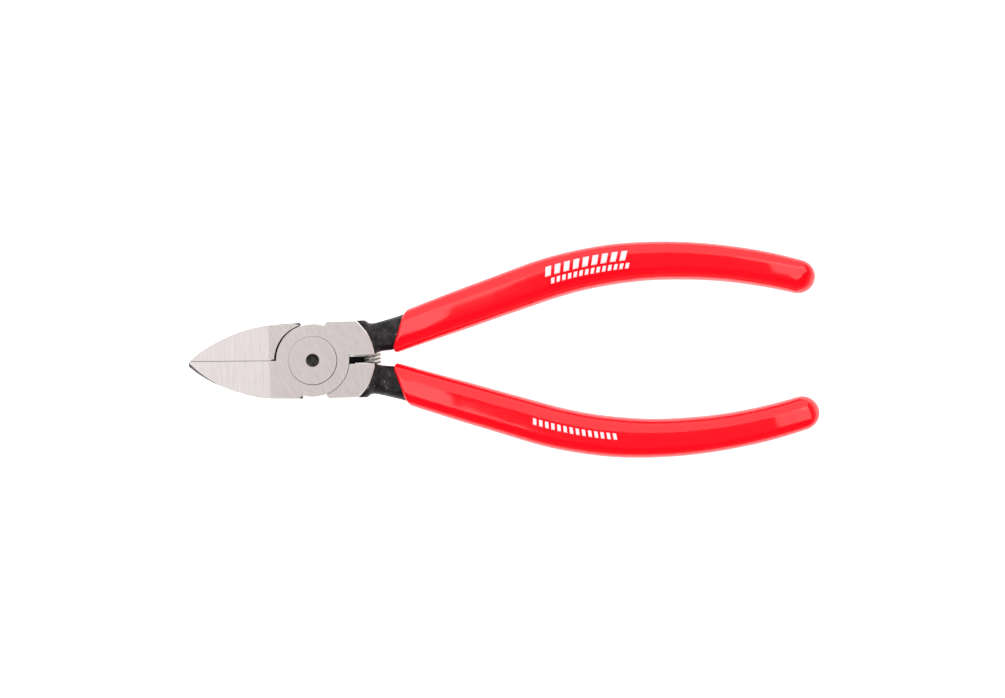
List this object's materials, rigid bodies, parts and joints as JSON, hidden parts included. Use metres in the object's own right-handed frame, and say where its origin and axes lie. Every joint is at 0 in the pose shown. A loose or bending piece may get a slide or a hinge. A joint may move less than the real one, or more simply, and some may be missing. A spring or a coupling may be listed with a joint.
{
  "type": "sprue nippers",
  "caption": "Flush-cutting side nippers for plastic: lap-jointed steel head with pointed jaws, a coil opening spring behind the joint and curved dipped red handles.",
  "frame": {"origin": "on the pivot axis, on the flat back face of the head, which the tool rests on", "axes": "+X from the pivot to the handles, +Y to the handle of the front arm, +Z out of the flush face of the head; the jaws are closed at rest"},
  "size_m": [0.1602, 0.0552, 0.01],
  "materials": {
    "ground_steel": "ground head faces, blackened forged tangs",
    "spring_steel": "bright drawn wire",
    "red_vinyl": "glossy dipped vinyl"
  },
  "bodies": {
    "lower_handle": {"back_arm": "ground_steel", "lower_grip": "red_vinyl", "pivot_rivet": "ground_steel", "opening_spring": "spring_steel"},
    "upper_handle": {"front_arm": "ground_steel", "upper_grip": "red_vinyl"}
  },
  "joints": [
    {"name": "handle_pivot", "type": "hinge", "parent": "lower_handle", "child": "upper_handle", "pos_m": [0, 0, 0.005], "axis": [0, 0, 1], "range_deg": [0, 30], "stiffness_Nm_per_rad": 0.18, "springref_deg": 20.05, "deforming": ["opening_spring"]}
  ]
}
